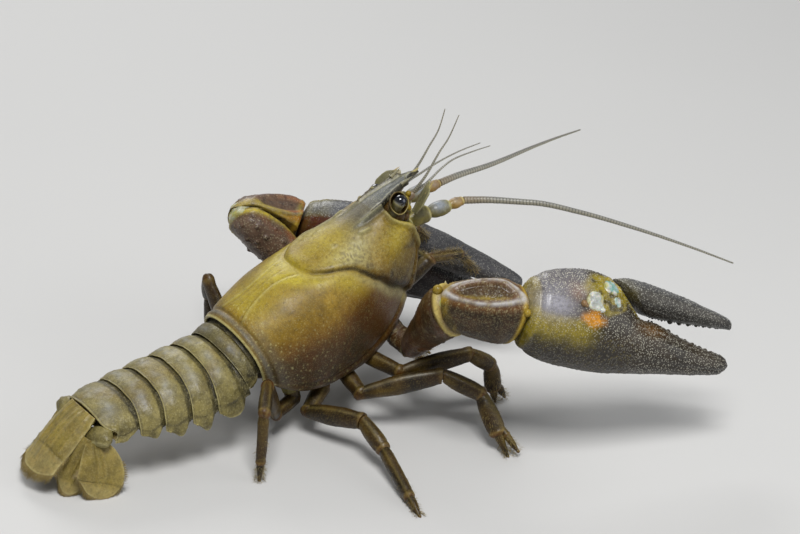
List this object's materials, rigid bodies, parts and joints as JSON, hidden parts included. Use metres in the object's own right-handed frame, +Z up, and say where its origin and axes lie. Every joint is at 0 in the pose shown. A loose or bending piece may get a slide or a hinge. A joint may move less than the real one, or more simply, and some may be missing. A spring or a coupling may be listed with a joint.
{
  "type": "crayfish",
  "caption": "Signal crayfish, life size, standing with both claws reaching forward, tail fan on the floor",
  "frame": {"origin": "the point on the floor under the middle of the animal's bounding box", "axes": "X the way the animal faces, Y its left, Z up"},
  "size_m": [0.18, 0.1094, 0.0702],
  "materials": {
    "shell": "hard olive-brown carapace with a moist gloss",
    "tail": "olive-grey tail plates, glossy above and dusty at the sides",
    "claw": "dark brown granular claws with pale granules",
    "leg": "amber-brown legs with darker tops",
    "soft": "olive-yellow head limbs and pale underside",
    "feeler": "ringed beige and brown feelers",
    "eye": "blue-black glossy eyes"
  },
  "bodies": {
    "root": {"carapace": "shell", "underside": "soft", "mouthparts": "soft", "maxilliped_right": "leg", "eyestalk_right": "soft", "eye_right": "eye", "antennule_right": "feeler", "antenna_base_right": "soft", "antenna_scale_right": "soft", "antenna_flagellum_right": "feeler", "cheliped_right_ischium": "leg", "cheliped_right_merus": "claw", "cheliped_right_carpus": "claw", "cheliped_right_hand": "claw", "cheliped_right_finger": "claw", "leg_2_right_upper": "leg", "leg_2_right_lower": "leg", "leg_3_right_upper": "leg", "leg_3_right_lower": "leg", "leg_4_right_upper": "leg", "leg_4_right_lower": "leg", "leg_5_right_upper": "leg", "leg_5_right_lower": "leg", "maxilliped_left": "leg", "eyestalk_left": "soft", "eye_left": "eye", "antennule_left": "feeler", "antenna_base_left": "soft", "antenna_scale_left": "soft", "antenna_flagellum_left": "feeler", "cheliped_left_ischium": "leg", "cheliped_left_merus": "claw", "cheliped_left_carpus": "claw", "cheliped_left_hand": "claw", "cheliped_left_finger": "claw", "leg_2_left_upper": "leg", "leg_2_left_lower": "leg", "leg_3_left_upper": "leg", "leg_3_left_lower": "leg", "leg_4_left_upper": "leg", "leg_4_left_lower": "leg", "leg_5_left_upper": "leg", "leg_5_left_lower": "leg", "abdomen_1": "tail", "abdomen_2": "tail", "abdomen_3": "tail", "abdomen_4": "tail", "abdomen_5": "tail", "abdomen_6": "tail", "telson": "tail", "uropod_right_base": "tail", "uropod_right_inner": "tail", "uropod_right_outer": "tail", "uropod_left_base": "tail", "uropod_left_inner": "tail", "uropod_left_outer": "tail"}
  },
  "joints": []
}
